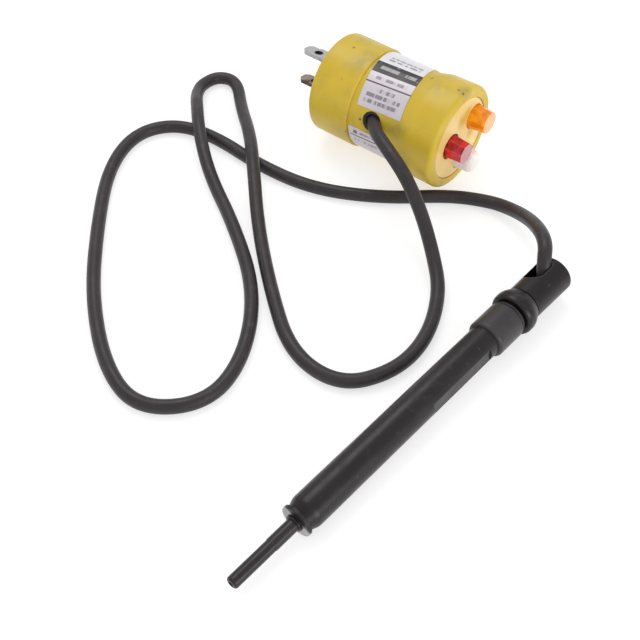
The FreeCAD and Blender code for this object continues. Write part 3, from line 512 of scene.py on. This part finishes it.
def lens_plastic(name, deep, bright, rough=0.16, transmission=0.75, scale=120.0, glow=0.0,
                 face=None, edge=None, coat=0.2):
    """Translucent indicator moulding: colour deepens in patches, light passes softly."""
    m = Material(name)
    where = m.place(location=TESTER_ORIGIN)
    base = m.ramp(m.noise(where, scale, 3.0, 0.5, 0.6), (0.3, deep), (0.7, bright))
    scuff = m.ramp(m.noise(where, 700.0, 5.0), (0.62, 0.0), (0.78, 0.35))
    base = m.mix(scuff, base, tuple(min(1.0, v * 1.2 + 0.05) for v in bright))
    # Painted highlight: the edge colour lightens the lens along its sharp edges.
    if edge is not None:
        edge_wear_and_highlight = m.ramp(m.sharp_edge_mask(0.0004), (0.01, 0.0), (0.07, 0.8))
        base = m.mix(edge_wear_and_highlight, base, edge)
    # Painted reflection: the flat front face takes the pale face colour, broken up by noise, as if
    # it mirrored the white surroundings.
    if face is not None:
        along = m.split(where)[0]
        front = m.within(along, *(edge * MM for edge in LENS_FRONT), 0.00005)
        wear_and_sheen = m.ramp(m.noise(where, 480.0, 4.0), (0.3, 0.65), (0.65, 0.95))
        base = m.mix(m.math("MULTIPLY", front, wear_and_sheen), base, face)
    uneven = m.ramp(m.noise(where, 260.0, 4.0), (0.3, rough), (0.7, rough + 0.12))
    # Painted light: with a glow above 0 the lens gives off light of its own, though no lamp is
    # lit.
    m.set(Base_Color=base, Roughness=uneven, Transmission_Weight=transmission, IOR=1.49,
          Coat_Weight=coat, Coat_Roughness=0.08, Emission_Color=base, Emission_Strength=glow)
    m.bump((m.noise(where, 160.0, 2.0), 0.12, 0.0003))
    return m.material


# Label colours, and the bands of the two labels: see label_face for what each entry is.
SILVER = (0.72, 0.71, 0.75)
CHARCOAL = (0.022, 0.019, 0.021)
WHITE = (0.56, 0.52, 0.56)
PRINT = (0.05, 0.045, 0.05)
SOFT_PRINT = (0.13, 0.11, 0.13)
MAIN_BANDS = [
    (-60.0, 1.3, SILVER, 18, 43, 0), (1.3, 17.9, CHARCOAL, 18, 43, 0),
    (29.9, 31.5, PRINT, 18, 43, 0), (7.0, 12.0, (0.42, 0.40, 0.42), 23.0, 38.4, 1.5),
    (22.0, 26.0, SOFT_PRINT, 24.0, 38.0, 1.2), (35.6, 40.0, SOFT_PRINT, 27.4, 35.0, 1.5),
    (42.6, 47.0, SOFT_PRINT, 23.8, 38.6, 1.5), (49.6, 54.0, SOFT_PRINT, 23.8, 38.6, 1.5),
    (-13.0, -10.0, SOFT_PRINT, 23.0, 37.0, 1.0), (-7.5, -4.5, SOFT_PRINT, 23.0, 37.0, 1.0),
]
LOWER_BANDS = [
    (99.8, 101.4, PRINT, 20.4, 37, 0), (92.4, 97.4, SOFT_PRINT, 22.0, 23.8, 0),
    (93.4, 96.4, SOFT_PRINT, 25.0, 33.0, 1.2), (106.0, 110.0, SOFT_PRINT, 22.0, 33.0, 1.2),
]


def label_face(name, bands):
    """Foil label on the waist: bands by angle round the axis, rubbed and yellowed.

    A band is (first angle, last angle, colour, first station, last station, dash length or 0);
    dashes stand in for rows of print without being any lettering.
    """
    m = Material(name)
    where = m.place(location=TESTER_ORIGIN)
    along, across, up = m.split(where)
    angle = m.math("MULTIPLY", m.math("ARCTAN2", m.math("MULTIPLY", across, -1.0), up),
                   180.0 / math.pi)
    from_middle = m.math("SUBTRACT", along, LABEL_MIDDLE * MM)
    angle = m.math("ADD", angle, m.math("MULTIPLY", from_middle, LABEL_CROOKED))
    base = m.ramp(m.noise(where, 70.0, 4.0), (0.3, WHITE), (0.7, tuple(v * 1.1 for v in WHITE)))
    for low, high, colour, first, last, dash in bands:
        mask = m.math("MULTIPLY", m.within(angle, low, high, 0.25),
                      m.within(along, first * MM, last * MM, 0.00008))
        if dash:
            row = m.node("ShaderNodeCombineXYZ", X=along, Y=low * MM, Z=0.0)
            ink = m.ramp(m.noise(row.outputs[0], 1000.0 / dash, 2.0), (0.44, 0.12), (0.50, 0.75))
            mask = m.math("MULTIPLY", mask, ink)
        base = m.mix(mask, base, colour)
    stains_and_shade = m.ramp(m.noise(where, 210.0, 7.0, 0.62, 0.4), (0.56, 0.0), (0.75, 0.40))
    base = m.mix(stains_and_shade, base, (0.34, 0.31, 0.31))
    scratch = m.ramp(m.noise(m.place(scale=(0.3, 1, 1)), 1500.0, 3.0), (0.67, 0.0), (0.71, 0.5))
    base = m.mix(scratch, base, (0.70, 0.67, 0.68))
    m.set(Base_Color=base, Roughness=m.ramp(m.noise(where, 150.0, 4.0), (0.3, 0.30), (0.7, 0.44)),
          Metallic=0.10)
    m.bump((m.noise(where, 120.0, 3.0), 0.15, 0.0002), (scratch, 0.15, 0.00003))
    return m.material


def make_materials():
    dress(yellow_plastic(), "rear_cover", "main_housing")
    dress(pale_plastic(), "lens_panel", "lamp_carrier")
    dress(plain_material("plug_face_plastic", (0.42, 0.30, 0.05), (0.58, 0.43, 0.09), (0.4, 0.55)),
          "plug_insert")
    dress(plated_metal("plated_brass", (0.55, 0.54, 0.55), (0.34, 0.30, 0.26), 0.02, BLADE_HOLE),
          "line_blade", "ground_pin")
    dress(plated_metal("tarnished_brass", (0.36, 0.29, 0.24), (0.11, 0.08, 0.065), 0.12,
                       LOWER_BLADE_HOLE), "neutral_blade")
    dress(plated_metal("screw_steel", (0.55, 0.55, 0.54), (0.30, 0.25, 0.19), 0.0),
          "plug_screws", "front_posts", "carrier_nuts", spring)
    dress(plated_metal("needle_brass", (0.60, 0.48, 0.26), (0.28, 0.20, 0.10), 0.03),
          "contact_needle", "spring_seat")
    dress(plain_material("nylon", (0.55, 0.50, 0.36), (0.68, 0.64, 0.50), (0.35, 0.5)),
          "rear_posts")
    dress(plain_material("board_laminate", (0.08, 0.13, 0.05), (0.14, 0.21, 0.08), (0.3, 0.45),
                         200.0), "circuit_board")
    dress(plain_material("resistor_lacquer", (0.36, 0.20, 0.10), (0.50, 0.30, 0.16), (0.25, 0.4),
                         300.0), "lamp_resistors")
    dress(plain_material("wire_jacket", (0.012, 0.012, 0.014), (0.03, 0.03, 0.033), (0.4, 0.55)),
          "plug_wires", "tester_lead", "probe_lead")
    dress(plain_material("black_rubber", (0.010, 0.010, 0.010), (0.024, 0.022, 0.022), (0.5, 0.7)),
          "cord_grommet", "seal_ring")
    dress(washer_plastic(), "front_washer")
    dress(black_plastic("black_plastic", (0.0045, 0.0035, 0.004), (0.011, 0.009, 0.010)),
          "probe_handle", "nose_bush")
    dress(black_plastic("rubbed_black", (0.024, 0.0225, 0.0235), (0.040, 0.038, 0.039)),
          "probe_collar")
    dress(black_plastic("sheath_black", (0.010, 0.008, 0.009), (0.022, 0.018, 0.020)),
          "probe_sheath")
    dress(black_plastic("cap_black", (0.004, 0.003, 0.0035), (0.009, 0.007, 0.008), 0.34),
          "coupling_ring", "rear_cap")
    # For the lenses, face is a painted reflection colour, edge is a painted highlight colour and
    # glow is painted light.
    dress(lens_plastic("amber_lens_plastic", (0.56, 0.12, 0.001), (1.0, 0.45, 0.001), 0.12, 0.45,
                       230.0, 0.20, face=(1.0, 0.56, 0.28), edge=(1.0, 0.55, 0.12), coat=0.05),
          "amber_lens")
    dress(lens_plastic("red_lens_plastic", (0.10, 0.001, 0.004), (0.95, 0.006, 0.022), 0.08, 0.40,
                       260.0, 0.14, face=(0.56, 0.30, 0.34), edge=(0.90, 0.20, 0.24), coat=0.05),
          "red_lens")
    dress(lens_plastic("white_lens_plastic", (0.76, 0.70, 0.67), (0.88, 0.83, 0.80), 0.5, 0.30,
                       glow=0.14), "white_lens")
    dress(lens_plastic("lamp_glass", (0.80, 0.80, 0.80), (0.92, 0.92, 0.92), 0.05, 0.95),
          "amber_lamp", "red_lamp", "white_lamp")
    dress(label_face("main_label_foil", MAIN_BANDS), "main_label")
    dress(label_face("lower_label_foil", LOWER_BANDS), "lower_label")
    dress(cord_rubber(), cord)


make_materials()


# ---------------------------------------------------------------- stage and light

FLOOR_REACH = 3.0
FLOOR_DROP = 0.00002  # keeps the floor off the faces that lie on it
FLOOR_GLOW = 0.62
WORLD_STRENGTH = 0.82


def make_floor():
    mesh = bpy.data.meshes.new("floor")
    shape = bmesh.new()
    bmesh.ops.create_grid(shape, x_segments=4, y_segments=4, size=FLOOR_REACH)
    shape.to_mesh(mesh)
    shape.free()
    floor = bpy.data.objects.new("floor", mesh)
    floor.location.z = -FLOOR_DROP
    scene.collection.objects.link(floor)
    m = Material("floor_white")
    where = m.place()
    m.set(Base_Color=m.ramp(m.noise(where, 3.0, 2.0), (0.3, 0.46), (0.7, 0.49)), Roughness=0.9,
          Emission_Color=(1, 1, 1, 1), Emission_Strength=FLOOR_GLOW)
    floor.data.materials.append(m.material)


def make_light(name, location, target, size, energy):
    """A round area light, turned from its place towards the target."""
    data = bpy.data.lights.new(name, "AREA")
    data.shape = "DISK"
    data.size = size
    data.energy = energy
    light = bpy.data.objects.new(name, data)
    light.location = location
    light.rotation_mode = "QUATERNION"
    light.rotation_quaternion = (Vector(target) - Vector(location)).to_track_quat("-Z", "Y")
    scene.collection.objects.link(light)


def make_lights():
    world = bpy.data.worlds.new("World")
    world.use_nodes = True
    background = world.node_tree.nodes["Background"]
    background.inputs["Color"].default_value = (1, 1, 1, 1)
    background.inputs["Strength"].default_value = WORLD_STRENGTH
    scene.world = world
    make_light("Key", (-0.35, 0.25, 0.75), (0, 0, 0), 0.5, 1.8)
    make_light("Fill", (0.9, -0.12, 0.22), (0, 0.06, 0.02), 0.6, 3.2)
    scene.view_settings.view_transform = "Standard"


make_floor()
make_lights()
